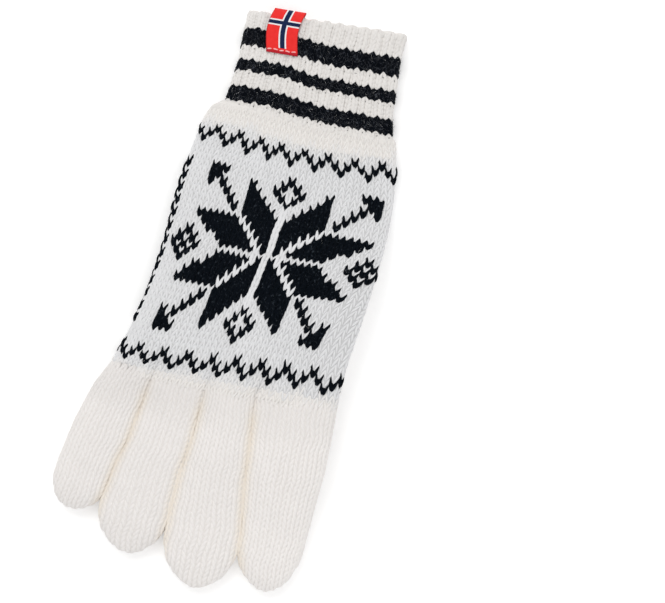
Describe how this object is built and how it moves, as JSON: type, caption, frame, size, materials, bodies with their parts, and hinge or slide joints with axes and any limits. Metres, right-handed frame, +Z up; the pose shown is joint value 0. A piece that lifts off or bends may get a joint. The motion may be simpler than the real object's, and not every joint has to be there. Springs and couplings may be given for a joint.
{
  "type": "knit glove",
  "caption": "Knitted right-hand glove lying palm down, with a striped ribbed cuff, an eight-petal star on its back, closed finger tubes and the thumb folded under the palm.",
  "frame": {"origin": "middle of the glove's bounding box, on the surface that it lies on", "axes": "+Z up from the surface, +Y from the fingers to the open cuff, +X towards the index-finger side"},
  "size_m": [0.1092, 0.2473, 0.0238],
  "materials": {
    "cuff_knit": "ribbed wool knit, off-white with near-black stripes",
    "hand_knit": "plain wool knit, cool off-white with a near-black star pattern",
    "finger_knit": "plain wool knit, cream",
    "dark_yarn": "near-black wool yarn",
    "label_tape": "woven tape, red with a white-edged blue cross"
  },
  "bodies": {
    "root": {"cuff": "cuff_knit", "hand": "hand_knit", "little_finger": "finger_knit", "ring_finger": "finger_knit", "middle_finger": "finger_knit", "index_finger": "finger_knit", "thumb": "finger_knit", "label": "label_tape"}
  },
  "joints": []
}
